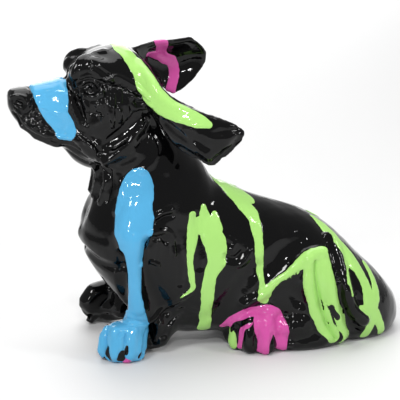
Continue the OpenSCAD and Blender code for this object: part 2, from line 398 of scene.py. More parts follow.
class HOUND_OT_skin(bpy.types.Operator):
    """Fuses copies of the castings and the added clay into one smooth skin"""

    bl_idname = "hound.skin"
    bl_label = "Fuse the Skin"

    def execute(self, context):
        clay = context.scene.hound_clay
        bm = bmesh.new()
        for node in NODES:
            add_copy(bm, node)
        self.plug_vent(bm)
        self.add_clay(bm)
        skin = finish_mesh(bm, SKIN)
        remesh = skin.modifiers.new("voxels", "REMESH")
        remesh.mode = "VOXEL"
        remesh.voxel_size = clay.skin_step
        apply_modifiers(skin)
        keep_longest(skin)
        self.blend(skin, clay.blend_passes)
        self.name_castings(skin)
        refine = skin.modifiers.new("refine", "SUBSURF")
        refine.levels = refine.render_levels = 1
        apply_modifiers(skin)
        return {"FINISHED"}

    def plug_vent(self, bm):
        """Closes the vent at its inner end, so that it is a recess and the hollow stays shut."""
        place = Matrix.Translation(Vector(to_frame((*VENT, PLUG_HEIGHT))))
        bmesh.ops.create_cone(bm, cap_ends=True, segments=24, radius1=PLUG_RADIUS,
                              radius2=PLUG_RADIUS, depth=PLUG_DEPTH, matrix=place)

    def add_clay(self, bm):
        """Adds the lumps and rolls that the castings' plain forms leave out."""
        # Jowls, lips and dewlap.
        add_rope(bm, [(46, 15, 172, 7), (60, 20, 160, 9), (76, 22, 152, 9), (90, 24, 158, 8)], BOTH)
        add_rope(bm, [(20, 9, 172, 6), (34, 12, 167, 7), (46, 13, 166, 6)], BOTH)
        add_rope(bm, [(58, 2, 151, 6), (70, 0, 142, 7), (70, 0, 130, 8), (67, 0, 116, 8)])
        # Top of the far forepaw, and the webs behind both.
        add_rope(bm, [(60, 37, 20, 8), (66, 39, 26, 9), (80, 42, 28, 9)])
        add_rope(bm, [(98, 30, 6, 5), (108, 32, 10, 6)], BOTH)
        # Lower edges of the haunches, and the corner of the far ear.
        add_rope(bm, [(198, 46, 6, 6), (212, 48, 6, 7), (230, 47, 6, 7), (246, 43, 6, 6)], BOTH)
        add_rope(bm, [(134, 32, 228, 3), (144, 31, 231, 2)])

    def blend(self, skin, passes):
        """Smooths the skin, less on the ears, the toes, the face and the vent."""
        bm = bmesh.new()
        bm.from_mesh(skin.data)
        fine = []
        broad = []
        for vert in bm.verts:
            d, y, z = to_drawn(vert.co)
            ear = z > 146 and abs(y) > 30 and d > 98
            toes = z < 34 and abs(y) > 24 and (d < 92 or 150 < d < 205)
            face = d < 70 and z > 140
            vent = math.hypot(d - VENT[0], y - VENT[1]) < 12 and z < 16
            (fine if ear or toes or face or vent else broad).append(vert)
        for k in range(passes):
            for verts in (broad, fine) if k < FINE_PASSES else (broad,):
                bmesh.ops.smooth_vert(bm, verts=verts, factor=0.5, use_axis_x=True,
                                      use_axis_y=True, use_axis_z=True)
        bm.to_mesh(skin.data)
        bm.free()

    def name_castings(self, skin):
        """Marks each face with the casting that lies nearest to it."""
        mesh = skin.data
        centres = np.empty(len(mesh.polygons) * 3, np.float32)
        mesh.polygons.foreach_get("center", centres)
        centres = centres.reshape(-1, 3)
        best = np.full(len(centres), 1.0)
        owner = np.zeros(len(centres), np.int32)
        graph = bpy.context.evaluated_depsgraph_get()
        for k, node in enumerate(NODES):
            tree = BVHTree.FromObject(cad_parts[node], graph)
            low, high = (np.array(c) - s * CASTING_REACH for c, s in zip(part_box(node), (1, -1)))
            for i in np.where(((centres > low) & (centres < high)).all(1))[0]:
                hit = tree.find_nearest(Vector(centres[i]), best[i])
                if hit[0] is not None and hit[3] < best[i]:
                    best[i] = hit[3]
                    owner[i] = k
        layer = mesh.attributes.new("casting", "INT", "FACE")
        layer.data.foreach_set("value", self.tidy_seams(mesh, owner))

    def tidy_seams(self, mesh, owner):
        """Gives each face the casting that most of its neighbours have, a few times."""
        bm = bmesh.new()
        bm.from_mesh(mesh)
        bm.faces.ensure_lookup_table()
        around = [[f.index for v in face.verts for f in v.link_faces] for face in bm.faces]
        bm.free()
        for _ in range(SEAM_PASSES):
            counts = np.zeros((len(owner), len(NODES)), np.int32)
            rows = np.repeat(np.arange(len(owner)), [len(a) for a in around])
            np.add.at(counts, (rows, owner[np.concatenate(around)]), 1)
            owner = counts.argmax(1).astype(np.int32)
        return owner


# ---- Body ----
# A stroke is (height, beads), where a bead is (behind nose, from middle, height, radius).
BODY_FORMS = [
    # The foreleg stands free of the body.
    (-5, "both", [(97, -47, 92, 8), (95, -46, 78, 9), (97, -44, 62, 10), (103, -42, 46, 11),
                  (109, -38, 32, 11)]),
    (-3, [(99, -31, 20, 8), (99, -33, 10, 8)]),
    (-6, [(54, 32, 4, 10), (54, 44, 4, 10), (62, 54, 3, 9)]),
    (-4, "both", [(75, -38, 82, 6), (76, -38, 68, 7), (78, -33, 52, 8), (81, -26, 38, 8)]),
    (2, "both", [(84, -45, 94, 9), (85, -44, 72, 8), (86, -43, 54, 7), (89, -41, 40, 7)]),
    # The chest hangs over the brisket.
    (-2.2, "both", [(53, 0, 80, 6), (55, -14, 79, 6), (61, -25, 74, 6), (69, -31, 72, 6), (77, -36, 71, 5)]),
    (1, "both", [(50, -2, 90, 8), (56, -20, 88, 8), (66, -30, 86, 8)]),
    (-3, [(54, 0, 108, 16)]),
    (-3.5, [(60, 27, 3, 8), (74, 24, 3, 8), (88, 20, 3, 8)]),
    # Hollow before the haunch, and the belly tucked in between the legs.
    (-3, "both", [(152, -42, 30, 14), (166, -43, 52, 12), (176, -43, 66, 10)]),
    (-2.5, "both", [(118, -40, 36, 12), (134, -38, 26, 12)]),
    # Haunch: the knee fold, the hollow above it and the mass below.
    (3, "both", [(170, -42, 37, 6), (183, -43, 45, 6), (194, -44, 54, 6), (204, -46, 62, 6.5),
                 (213, -45, 70, 7), (222, -44, 76, 7), (232, -41, 77, 6)]),
    (-3.5, "both", [(186, -42, 66, 11), (200, -43, 77, 13), (214, -39, 84, 10)]),
    (-3, "both", [(208, -48, 46, 9), (212, -49, 40, 9)]),
    (3, "both", [(200, -49, 18, 11), (214, -50, 20, 12)]),
]
BODY_FOLDS = [
    (1.8, "both", [(219, -47, 71, 6), (217, -49, 57, 6), (220, -50, 40, 6.5), (225, -50, 24, 7),
                   (232, -49, 9, 7)]),
    (1.8, "both", [(232, -43, 75, 6), (234, -47, 58, 7), (237, -50, 42, 7), (240, -50, 26, 7),
                   (245, -46, 9, 7)]),
    (-2, "both", [(223, -46, 70, 2), (223, -48, 60, 2.4), (225, -50, 46, 2.4), (228, -50, 33, 2.4),
                  (232, -50, 21, 2.4), (239, -47, 7, 2.4)]),
    (-2.6, "both", [(238, -36, 78, 3), (240, -44, 62, 3.4), (242, -49, 46, 3.4), (246, -50, 30, 4),
                    (251, -49, 18, 6), (259, -47, 12, 6)]),
    (4, "both", [(237, -28, 84, 4), (243, -32, 79, 5), (246, -40, 68, 5.5), (247, -46, 55, 5.5),
                 (249, -49, 42, 5.5), (254, -50, 30, 6), (264, -48, 20, 7)]),
    (-1.6, "both", [(251, -34, 74, 4), (254, -43, 60, 4), (256, -47, 46, 4), (260, -48, 36, 4)]),
    # Lips of the shoulder and elbow.
    (1.6, "both", [(102, -39, 110, 3), (108, -38, 113, 3), (114, -37, 114, 3)]),
    (-1.4, "both", [(103, -40, 107, 2.5), (109, -39, 110, 2.5), (115, -38, 110, 2.5)]),
    (1.8, "both", [(97, -43, 99, 3), (105, -41, 100, 3), (112, -39, 98, 3.5), (115, -39, 90, 3.5),
                   (116, -40, 81, 3)]),
    (-1.6, "both", [(99, -44, 94, 3), (106, -42, 95, 3), (110, -40, 91, 3)]),
    (1.2, "both", [(92, -45, 75, 2.5), (98, -45, 76, 2.5), (104, -43, 74, 2.5)]),
    (1.6, "both", [(98, -36, 27, 3), (108, -37, 34, 3), (117, -39, 42, 3.5), (128, -41, 50, 3)]),
    (1.6, "both", [(103, -31, 10, 2.5), (104, -36, 22, 3), (109, -37, 31, 3)]),
    (-1.5, "both", [(108, -33, 14, 4), (113, -37, 26, 4), (122, -38, 34, 4)]),
    # Ribs and the dent behind them.
    (-2, "both", [(155, -42, 77, 4), (162, -43, 75, 4), (168, -42, 79, 4)]),
    (1.2, "both", [(154, -42, 71, 3), (162, -42, 69, 3), (170, -42, 72, 3.5), (174, -41, 80, 3.5)]),
    (1, "both", [(157, -39, 91, 3.5), (162, -39, 87, 3.5), (160, -40, 82, 3)]),
    (-1, "both", [(119, -40, 88, 5), (121, -41, 72, 5), (120, -41, 58, 5)]),
    (-1, "both", [(134, -36, 108, 5), (136, -40, 90, 5), (135, -42, 70, 5)]),
]
NECK_FOLDS = [
    # The long fold of the jowl, with the hollows on each side of it.
    (4, "both", [(66, -30, 151, 4), (72, -31, 155, 5), (80, -31, 162, 5.5), (89, -30, 169, 5.5),
                 (97, -28, 179, 4)]),
    (-2, "both", [(71, -29, 147, 4), (80, -30, 151, 5), (90, -30, 157, 5), (98, -28, 167, 4.5),
                  (103, -26, 176, 4)]),
    (-1.6, "both", [(62, -29, 158, 4), (73, -30, 168, 5), (83, -30, 176, 5), (90, -29, 186, 4)]),
    (1.2, "both", [(103, -24, 185, 3), (109, -24, 177, 3), (112, -24, 168, 3)]),
    (2, "both", [(101, -28, 172, 3), (106, -30, 162, 3.6), (102, -32, 151, 4), (94, -33, 144, 3)]),
    (0.9, "both", [(115, -27, 168, 4), (119, -30, 156, 5), (112, -34, 144, 6)]),
    (1.6, "both", [(94, -27, 177, 2.5), (98, -29, 167, 2.5), (93, -32, 157, 3)]),
    (2.4, "both", [(62, -11, 145, 3), (62, -10, 133, 3), (60, -8, 121, 3)]),
    (-2, "both", [(65, -14, 144, 2.4), (65, -14, 132, 2.4), (62, -13, 119, 2.4)]),
    (2, "both", [(67, -18, 143, 3), (68, -20, 131, 3.5), (65, -18, 118, 3)]),
    (-1.6, "both", [(70, -23, 144, 2.6), (71, -24, 132, 2.8), (69, -23, 120, 2.6)]),
    (-1.8, [(60, 0, 146, 3), (61, 0, 134, 3), (59, 0, 120, 3)]),
    (1.2, "both", [(76, -28, 140, 4), (78, -31, 128, 5), (74, -31, 114, 5)]),
]

# The haunch before its folds are drawn, and the neck and haunch after them.
HAUNCH_SOFT = [
    ("both", (240, 44, 46), (30, 24, 56), 1, 16),
    ("both", (206, 46, 54), (28, 20, 24), 1, 24),
]
FOLDS_SOFT = [
    ("both", (98, 28, 160), (34, 26, 40), 1, 14),
    ("both", (247, 44, 54), (18, 24, 52), 3, 24),
]


class HOUND_OT_body(bpy.types.Operator):
    """Models the chest, the legs' roots, the haunches and the folds of the neck"""

    bl_idname = "hound.body"
    bl_label = "Model the Body"

    def execute(self, context):
        skin = Skin()
        skin.work(BODY_FORMS)
        skin.soften(HAUNCH_SOFT)
        skin.work(BODY_FOLDS)
        skin.work(NECK_FOLDS)
        skin.soften(FOLDS_SOFT)
        skin.save()
        return {"FINISHED"}


# ---- Head ----
FACE_FORMS = [
    (2.5, "both", [(47, -19, 214, 4.5), (49, -18, 221, 5), (55, -14, 227, 5.5), (61, -11, 229, 5.5),
                   (70, -11, 231, 5)]),
    (-2, [(44, 0, 213, 4), (48, -1, 220, 4)]),
    (-2.5, [(45, -14, 210, 8), (48, -15, 219, 8)]),
    (-1.5, [(44, 0, 213, 4), (49, -1, 221, 4.5), (57, -1, 226, 3)]),
    (-2.5, "both", [(44, 0, 208, 5), (45, -9, 207, 5), (46, -17, 204, 5)]),
    (-3, "both", [(58, -25, 206, 7.5)]),
    (1.5, "both", [(73, -29, 194, 15)]),
    (-1.5, "both", [(24, -15, 197, 9), (36, -17, 195, 9)]),
    (1.2, "both", [(20, -15, 181, 8), (32, -17, 177, 9)]),
]
FACE_FOLDS = [
    (2.6, "both", [(58, -23, 205, 3.6)]),
    (1.8, "both", [(50, -20, 206, 1.8), (54, -23, 209.5, 2.2), (59, -25, 210, 2.4), (63, -26, 208, 2.2),
                   (67, -27, 203, 1.8)]),
    (1.5, "both", [(51, -21, 204, 1.8), (54, -24, 200.5, 2), (59, -26, 199.5, 2.2), (63, -26, 200, 2),
                   (67, -27, 202, 1.8)]),
    (1.2, "both", [(52, -22, 213, 2.2), (58, -25, 215, 2.4), (65, -26, 213, 2.2)]),
    (2, "both", [(53, -24, 199, 2.4), (54, -26, 193, 3), (55, -27, 188, 2.4)]),
    (1.4, "both", [(60, -26, 194, 2.4), (66, -28, 194, 2.2)]),
    (-1.4, "both", [(49, -23, 198, 2), (55, -27, 189, 2.4), (65, -29, 187, 2)]),
    (1.8, "both", [(59, -25, 219, 2.6), (63, -26, 217, 2.6), (68, -27, 213, 2.6), (74, -28, 210, 2.2)]),
    (-1.5, "both", [(60, -23, 223, 2.2), (67, -25, 218, 2.2), (73, -27, 214, 2)]),
    (-2.2, "both", [(47, -21, 205, 2.6), (48, -22, 197, 2.6), (51, -24, 189, 2.6), (53, -26, 180, 2.6)]),
    (1.2, "both", [(44, -18, 202, 2.4), (45, -20, 195, 2.4), (47, -21, 187, 2.4), (50, -23, 178, 2.4)]),
    (1.2, "both", [(52, -25, 182, 2.4), (55, -26, 174, 3), (54, -26, 166, 3)]),
    # Cheekbone and the folds at the root of the ear.
    (2, "both", [(70, -27, 212, 2.6), (77, -28, 214, 3), (84, -28, 211, 3), (90, -29, 207, 3),
                 (95, -31, 203, 3), (99, -37, 199, 2.6)]),
    (-1.4, "both", [(73, -28, 208, 2), (80, -29, 208, 2), (88, -30, 203, 2), (94, -32, 199, 2)]),
    (1.8, "both", [(86, -30, 200, 2.2), (92, -31, 199, 2.2), (97, -34, 196, 2.2), (101, -39, 194, 2)]),
    (1.5, "both", [(84, -30, 192, 2), (85, -30, 196, 2), (89, -30, 199, 2)]),
    (-1.4, "both", [(88, -30, 196, 1.8), (94, -31, 195, 1.8), (99, -35, 192, 1.8)]),
    (1.4, "both", [(89, -30, 191, 2), (95, -30, 190, 2), (100, -31, 186, 2)]),
    # Nose.
    (-2.8, "both", [(5.5, -12, 194.5, 2.3), (9, -13, 193.5, 2)]),
    (1.4, "both", [(2.5, -8, 198, 2), (7, -11, 200, 2.2), (12, -12, 198, 2.2), (14, -14, 193, 2),
                   (11, -14, 189, 1.6)]),
    (-1.5, "both", [(16, -2, 206, 2.4), (17, -9, 203, 2.4), (18, -14, 196, 2.2), (16, -15, 189, 2)]),
    (-1.3, [(0, 0, 197, 1.6), (1, 0, 190, 1.6), (3, 0, 184, 1.6)]),
    # Lips.
    (-2, "both", [(4, -8, 187, 1.7), (7, -12, 181, 1.8), (13, -14, 174, 1.9), (18, -15, 170, 2),
                  (25, -17, 167.5, 2), (34, -19, 166, 2), (42, -20, 164, 2), (50, -22, 160, 2)]),
    (1.2, "both", [(5, -11, 190, 2), (9, -14, 183, 2), (16, -16, 176, 2.2), (24, -18, 171, 2.2),
                   (34, -20, 169.5, 2.2), (43, -22, 168, 2.4), (50, -24, 166, 2.4)]),
    (1, "both", [(16, -12, 168, 1.8), (26, -14, 164, 1.8), (36, -15, 162, 2)]),
    (-1.6, "both", [(38, -17, 161, 2), (45, -19, 157, 2), (53, -23, 153, 2.2)]),
    (-1.5, "both", [(42, -10, 157, 2), (48, -14, 152, 2), (55, -16, 147, 2)]),
    (1.4, "both", [(49, -24, 170, 2.4), (55, -27, 165, 2.6), (60, -29, 160, 2.6), (62, -28, 152, 2.4)]),
    (-1.3, "both", [(53, -25, 170, 2), (59, -28, 166, 2), (64, -30, 160, 2)]),
]
# Where the whiskers grow, as behind nose and height, and the pimple at each one's root.
WHISKERS = [(12, 186), (17, 187), (22, 185), (13, 182), (18, 181), (23, 180), (18, 177), (22, 176),
            (27, 176), (22, 173), (26, 173), (31, 174)]
PIMPLE_SIDE = -16
PIMPLE_HEIGHT = 1.0
PIMPLE_RADIUS = 1.9
# Behind nose, top, lowest, height and lean of each fold of the cheek.
CHEEK_LINES = [(63, 203, 187, 1.6, 0), (66.5, 207, 181, 2.4, -1), (71, 208, 183, 1.7, 1),
               (75, 207, 177, 3, -2), (79.5, 208, 181, 2.2, -1), (84, 205, 184, 1.8, 2),
               (88, 203, 188, 1.4, 3)]
# Cheeks, lower lips and skull.
HEAD_SOFT = [
    ("both", (77, 29, 193), (20, 16, 24), 2, 3),
    ((28, 0, 165), (40, 30, 16), 1, 14),
    ((74, 0, 228), (24, 24, 12), 1, 30),
]


class HOUND_OT_head(bpy.types.Operator):
    """Models the brows, eyes, nose, lips and cheeks"""

    bl_idname = "hound.head"
    bl_label = "Model the Head"

    def execute(self, context):
        skin = Skin()
        skin.work(FACE_FORMS)
        skin.work(FACE_FOLDS)
        pimples = [(PIMPLE_HEIGHT, "both", [(d, PIMPLE_SIDE, z, PIMPLE_RADIUS)]) for d, z in WHISKERS]
        ridges = []
        for d, top, low, height, lean in CHEEK_LINES:
            beads = [(d, -28, top, 1.6), (d - 1, -29, (top + low) / 2, 2.4), (d + lean, -30, low, 1.4)]
            ridges.append((height, "both", beads))
        skin.work(pimples + ridges)
        skin.soften(HEAD_SOFT)
        skin.save()
        return {"FINISHED"}


# ---- Ears ----
EAR_FORMS = [
    # Near ear: rolled top edge, a deep fall below it and a turned lower lip.
    (1.5, [(96, -16, 222, 5), (101, -31, 213, 5), (106, -41, 202, 5), (116, -47, 195, 5), (130, -51, 190, 5),
           (144, -54, 184, 5), (158, -53, 179, 4)]),
    (-3, [(108, -46, 182, 5), (116, -52, 176, 7), (126, -57, 171, 7), (137, -59, 167, 6)]),
    (-2.2, [(119, -48, 163, 4), (127, -52, 158, 4), (135, -54, 153, 3.5)]),
    (1.8, [(120, -54, 178, 2.6), (126, -57, 170, 2.8), (132, -58, 163, 2.8), (139, -57, 156, 2.6)]),
    (-1.6, [(141, -59, 176, 2.4), (150, -57, 177, 2.4), (160, -55, 177, 2.2)]),
    (1.4, [(141, -59, 172, 2.4), (151, -58, 172, 2.4), (159, -56, 174, 2.2)]),
    (-3, [(160, -56, 168, 6), (154, -57, 161, 6), (145, -55, 154, 5)]),
    # Far ear, seen from within.
    (-2.5, [(111, 30, 215, 7), (120, 36, 206, 8), (125, 35, 197, 7)]),
    (0.8, [(134, 38, 222, 2.6), (132, 41, 212, 2.6), (132, 41, 203, 2.6), (129, 36, 193, 2.4)]),
    (0.9, [(155, 43, 211, 2), (146, 43, 206, 2.6), (138, 42, 201, 2)]),
    (0.8, [(154, 42, 215, 2), (145, 43, 212, 2.6), (138, 44, 208, 2)]),
    (0.8, [(151, 41, 205, 2), (142, 40, 199, 2.6), (135, 37, 194, 2)]),
    (1, [(125, 31, 226, 2), (132, 31, 226, 2)]),
]

# Far ear, then near ear.
EARS_SOFT = [
    ((140, 38, 212), (34, 24, 34), 1, 60),
    ((135, -54, 170), (50, 24, 34), 1, 14),
]


class HOUND_OT_ears(bpy.types.Operator):
    """Models the falls and edges of the ears"""

    bl_idname = "hound.ears"
    bl_label = "Model the Ears"

    def execute(self, context):
        skin = Skin()
        skin.work(EAR_FORMS)
        skin.soften(EARS_SOFT)
        skin.save()
        return {"FINISHED"}


# ---- Feet ----
FOREPAW = [
    # Gaps between the toes, then the toes' backs and the wrist's wrinkles.
    (-2, [(66, -35, 24, 2), (63, -40, 14, 2.8), (64, -42, 3, 3)]),
    (-2, [(78, -43, 22, 2), (76, -48, 12, 2.8), (75, -49, 3, 3)]),
    (-2, [(95, -37, 20, 2), (92, -43, 11, 2.8), (90, -46, 3, 3)]),
    (1.1, [(60, -33, 18, 4), (59, -36, 8, 4)]),
    (1.1, [(71, -40, 24, 4), (69, -45, 14, 4.5), (69, -47, 6, 4.5)]),
    (1.1, [(85, -42, 25, 4), (83, -47, 14, 4.5), (82, -49, 6, 4.5)]),
    (1.1, [(97, -34, 18, 4), (97, -38, 8, 4)]),
    (-1, [(78, -32, 31, 1.8), (86, -40, 31, 1.8), (96, -36, 27, 1.8)]),
    (0.8, [(78, -35, 29, 1.8), (86, -41, 28, 1.8), (96, -36, 24, 1.8)]),
    (-0.8, [(66, -38, 19, 1.4), (68, -37, 22, 1.4)]),
    (-0.8, [(72, -42, 19, 1.4), (74, -42, 22, 1.4)]),
]
# The far forepaw has the same strokes, but fainter, further forward and further out.
FAR_FAINTNESS = 0.6
FAR_FORWARD = 3
FAR_OUTWARD = 4
HINDPAW = [
    (-1.1, [(164, -40, 18, 2.4), (163, -43, 11, 3), (162, -43, 3, 3.4)]),
    (-1.1, [(178, -50, 18, 2.4), (176, -53, 11, 3), (176, -54, 3, 3.4)]),
    (-1.1, [(188, -53, 16, 2.4), (187, -55, 10, 3), (187, -56, 3, 3.4)]),
    (0.6, [(171, -47, 18, 5), (170, -50, 8, 5)]),
    (0.6, [(183, -53, 17, 5), (182, -55, 8, 5)]),
    (-1.4, [(202, -45, 26, 4), (203, -47, 16, 4.5), (204, -47, 6, 4.5)]),
]


class HOUND_OT_feet(bpy.types.Operator):
    """Models the toes and the wrinkles above them"""

    bl_idname = "hound.feet"
    bl_label = "Model the Feet"

    def execute(self, context):
        skin = Skin()
        skin.work(FOREPAW)
        far = []
        for height, beads in FOREPAW:
            beads = [(d - FAR_FORWARD, FAR_OUTWARD - y, z, r) for d, y, z, r in beads]
            far.append((height * FAR_FAINTNESS, beads))
        skin.work(far)
        skin.work([(height, "both", beads) for height, beads in HINDPAW])
        skin.save()
        return {"FINISHED"}


# ---- Coat ----
# The unevenness of the whole figure, as height, wavelength and seed.
HAND_WAVER = [(0.25, 26, 1), (0.1, 11, 2)]
# Where the hair was combed into the clay: centre, radii, height and wavelength.
COAT = [
    ((20, -12, 182), (22, 14, 14), 0.3, 5),
    ((60, -26, 205), (20, 12, 20), 0.15, 5),
    ((75, -28, 195), (22, 12, 20), 0.15, 6),
    ((100, -30, 165), (34, 20, 34), 0.12, 9),
    ((205, -49, 20), (30, 16, 22), 0.35, 7),
    ((166, -40, 26), (16, 16, 14), 0.3, 5),
    ((124, -38, 24), (22, 16, 18), 0.3, 6),
    ((165, -38, 80), (26, 16, 26), 0.3, 12),
    ((185, -42, 60), (30, 16, 26), 0.15, 9),
    ((78, -45, 20), (26, 20, 20), 0.15, 6),
    ((145, -55, 172), (24, 12, 20), 0.35, 8),
    ((70, -20, 130), (24, 24, 30), 0.25, 12),
]
COAT_SEED = 10
# The coat fades out over this height above the table, so that the feet stay flat.
COAT_FADE = 6


class HOUND_OT_coat(bpy.types.Operator):
    """Combs the small unevenness of the coat into the skin"""

    bl_idname = "hound.coat"
    bl_label = "Comb the Coat"

    def execute(self, context):
        skin = Skin()
        move = ripples(skin.p, HAND_WAVER)
        for seed, (centre, radii, height, length) in enumerate(COAT, COAT_SEED):
            for side in (1, -1):
                share = skin.near((centre[0], side * centre[1], centre[2]), radii)
                move += height * share * ripple(skin.p, length, seed)
        move *= np.clip(skin.p[:, 2] / COAT_FADE, 0, 1)
        skin.p += skin.n * move[:, None]
        skin.p[:, 2] = np.maximum(skin.p[:, 2], 0)
        skin.save()
        return {"FINISHED"}


# ---- Enamel ----
# A run is a line of (behind nose, from middle, height, half its width) beads.
BLUE_RUNS = [
    [(28, 14, 200, 11), (29, 0, 208, 13), (30, -10, 204, 13), (32, -17, 194, 11), (34, -18, 186, 9),
     (39, -19, 178, 7.5), (42, -20, 172, 5.5)],
    [(37, -19, 172, 3.5), (41, -20, 173, 4.4), (44, -22, 174, 3.4)],
    [(92, -31, 143, 4), (91, -30, 134, 11), (87, -36, 120, 14), (85, -42, 108, 15.5), (84, -45, 92, 12.5),
     (84, -45, 78, 9), (85, -43, 64, 7), (85, -42, 50, 6.5), (86, -41, 39, 7), (87, -39, 28, 9),
     (90, -38, 14, 9)],
    [(78, -38, 27, 12), (76, -45, 18, 14), (76, -46, 8, 16)],
    [(64, -36, 20, 8), (60, -35, 8, 8)],
    [(93, -40, 20, 7), (91, -44, 6, 7)],
]
GREEN_RUNS = [
    # Head and near ear.
    [(79, 12, 232, 4), (83, 0, 233, 5), (85, -9, 231, 6.5), (96, -25, 217, 7), (100, -37, 204, 9),
     (108, -46, 196, 8.5), (119, -51, 190, 7), (131, -55, 185, 5.6), (138, -56, 182, 2.8)],
    # Flank.
    [(131, -36, 109, 3), (130, -38, 94, 4), (128, -41, 80, 3), (128, -41, 70, 2.4), (129, -42, 61, 2.4),
     (129, -41, 53, 2), (121, -40, 46, 1)],
    [(140, -32, 114, 2), (141, -35, 105, 5), (145, -39, 94, 8), (148, -41, 84, 8), (148, -42, 74, 7),
     (143, -42, 62, 5.2), (141, -41, 44, 5), (140, -39, 26, 4.8), (140, -36, 9, 5)],
    [(148, -32, 108, 2.2), (149, -36, 98, 5)],
    [(131, -37, 101, 4), (138, -36, 101, 7), (146, -37, 98, 7)],
    # Back.
    [(155, -2, 124, 4), (162, -10, 121, 6), (169, -18, 116, 7.5), (176, -25, 107, 6.5), (180, -32, 97, 4.8),
     (181, -40, 80, 3.2), (182, -43, 62, 2.5), (183, -43, 50, 2.3), (184, -43, 42, 4)],
    [(158, 10, 122, 4), (166, 0, 123, 7), (172, -5, 119, 7.5), (178, -14, 113, 6)],
    # Knee and shin.
    [(183, -43, 44, 4.4), (193, -44, 54, 2.8), (204, -45, 62, 3.2), (213, -45, 69, 4.6), (222, -44, 74, 6),
     (230, -42, 76, 4.5)],
    [(226, -48, 68, 6), (228, -50, 52, 5), (230, -50, 42, 3)],
    [(221, -47, 71, 6), (220, -49, 56, 7), (223, -50, 40, 7), (228, -50, 24, 7.5), (235, -47, 8, 6)],
    [(230, -44, 71, 5.5), (233, -50, 54, 7), (238, -50, 36, 5.5), (243, -47, 18, 4.5), (247, -42, 3, 4)],
    # Rump.
    [(232, -10, 94, 3), (239, -18, 88, 6), (246, -27, 79, 8), (254, -32, 68, 8), (262, -37, 57, 5.4),
     (267, -42, 44, 4.6), (270, -44, 30, 6), (270, -45, 20, 5), (267, -43, 3, 3.6)],
    [(272, -22, 57, 3.4), (275, -33, 46, 3.6), (275, -40, 34, 4.6)],
    [(251, -37, 67, 4.5), (248, -46, 54, 2.6), (250, -50, 42, 1.8)],
    [(272, -44, 29, 6), (264, -46, 27, 4), (256, -49, 28, 1.6)],
    [(273, -43, 24, 4.6), (278, -40, 14, 3.8), (282, -37, 4, 3)],
    # The runs that go over the back and down the far side.
    [(166, 0, 123, 6), (172, 18, 115, 6), (176, 32, 100, 5), (178, 42, 78, 4), (179, 44, 56, 3.4)],
    [(150, 6, 124, 4), (146, 24, 116, 5), (142, 36, 100, 6), (140, 41, 80, 5), (139, 42, 62, 3.6)],
    [(236, 8, 92, 5), (246, 24, 80, 6.5), (256, 36, 64, 6), (262, 43, 44, 4.6), (264, 45, 24, 4)],
    # Front of the hind foot.
    [(160, -36, 12, 5.4), (160, -38, 5, 5.6)],
]
MAGENTA_RUNS = [
    [(118, 24, 231, 4), (120, 28, 228, 5), (122, 37, 217, 5), (130, 43, 211, 4.5), (132, 41, 200, 3.8),
     (128, 34, 188, 4)],
    [(110, 27, 219, 2), (119, 35, 218, 4.5)],
    [(130, 43, 213, 4), (133, 42, 204, 3.5)],
    [(156, -32, 16, 3), (163, -38, 25, 3.6), (176, -42, 31, 4.6), (188, -46, 31, 6), (193, -48, 25, 8),
     (196, -50, 16, 6), (197, -52, 8, 4), (197, -52, 2, 4)],
    [(184, -48, 25, 8), (183, -52, 18, 7.5), (182, -54, 11, 5.4), (181, -55, 3, 5)],
    [(173, -46, 24, 3), (168, -44, 18, 3), (166, -44, 10, 2.4), (165, -43, 3, 2.6)],
    [(77, -49, 1, 3.4)],
]
BARE_AND_SHADE_SPOTS = [
    # Black glaze left clear of enamel. Between the fore toes it is painted shade in the toe gaps. The hole
    # in the shin's run and the hind foot's stripe and toes are really free of enamel.
    [(65, -41, 11, 2), (64, -42, 3, 3)],
    [(77, -48, 13, 1.4), (74, -49, 4, 3.6)],
    [(92, -44, 11, 1.4), (89, -47, 4, 2.6)],
    [(236, -50, 34, 2), (240, -49, 25, 2.4)],
    [(158, -36, 16, 2), (165, -42, 22, 2.2), (174, -46, 25, 1)],
    [(173, -50, 15, 2.4), (173, -51, 9, 4), (173, -51, 2, 4)],
    [(190, -54, 13, 1.4), (190, -54, 8, 2.6), (190, -54, 2, 3.4)],
]
# The unevenness of the runs' edges, as height, wavelength and seed.
EDGE_WAVER = [(0.45, 14, 3), (0.2, 6, 5)]
# How far from a run its distance is worked out.
RUN_REACH = 8.0
# Width over which the enamel rises, and how far along the rise its edge lies.
RISE_WIDTH = 1.2
RISE_AT_EDGE = 0.15


class HOUND_OT_enamel(bpy.types.Operator):
    """Pours the coloured runs over the black glaze"""

    bl_idname = "hound.enamel"
    bl_label = "Pour the Enamel"

    def execute(self, context):
        clay = context.scene.hound_clay
        skin = Skin()
        wobble = ripples(skin.p, EDGE_WAVER)
        # Spots kept clear of enamel: painted shade between the fore toes, and real gaps in the runs
        # elsewhere.
        bare_and_shade = self.edge_of(skin, BARE_AND_SHADE_SPOTS)
        cover = np.full(len(skin.p), RUN_REACH)
        for name, runs in (("green", GREEN_RUNS), ("blue", BLUE_RUNS), ("magenta", MAGENTA_RUNS)):
            gap = np.maximum(self.edge_of(skin, runs), -bare_and_shade) + wobble
            skin.attribute(name + "_gap", gap)
            cover = np.minimum(cover, gap)
        rise = np.clip(-cover / RISE_WIDTH + RISE_AT_EDGE, 0, 1)
        rise = rise * rise * (3 - 2 * rise)
        depth = clay.enamel_depth / SCALE.mean()
        skin.p += skin.n * (depth * rise)[:, None]
        skin.p[:, 2] = np.maximum(skin.p[:, 2], 0)
        skin.save()
        return {"FINISHED"}

    def edge_of(self, skin, runs):
        """Millimetres from the edge of the nearest run, negative inside it."""
        return np.minimum.reduce([skin.gap(skin.stroke(beads), RUN_REACH, True) for beads in runs])


# ---- Castings ----
# How far the faces that close a piece's seam are drawn into the figure, in metres.
SEAM_TUCK = 0.004


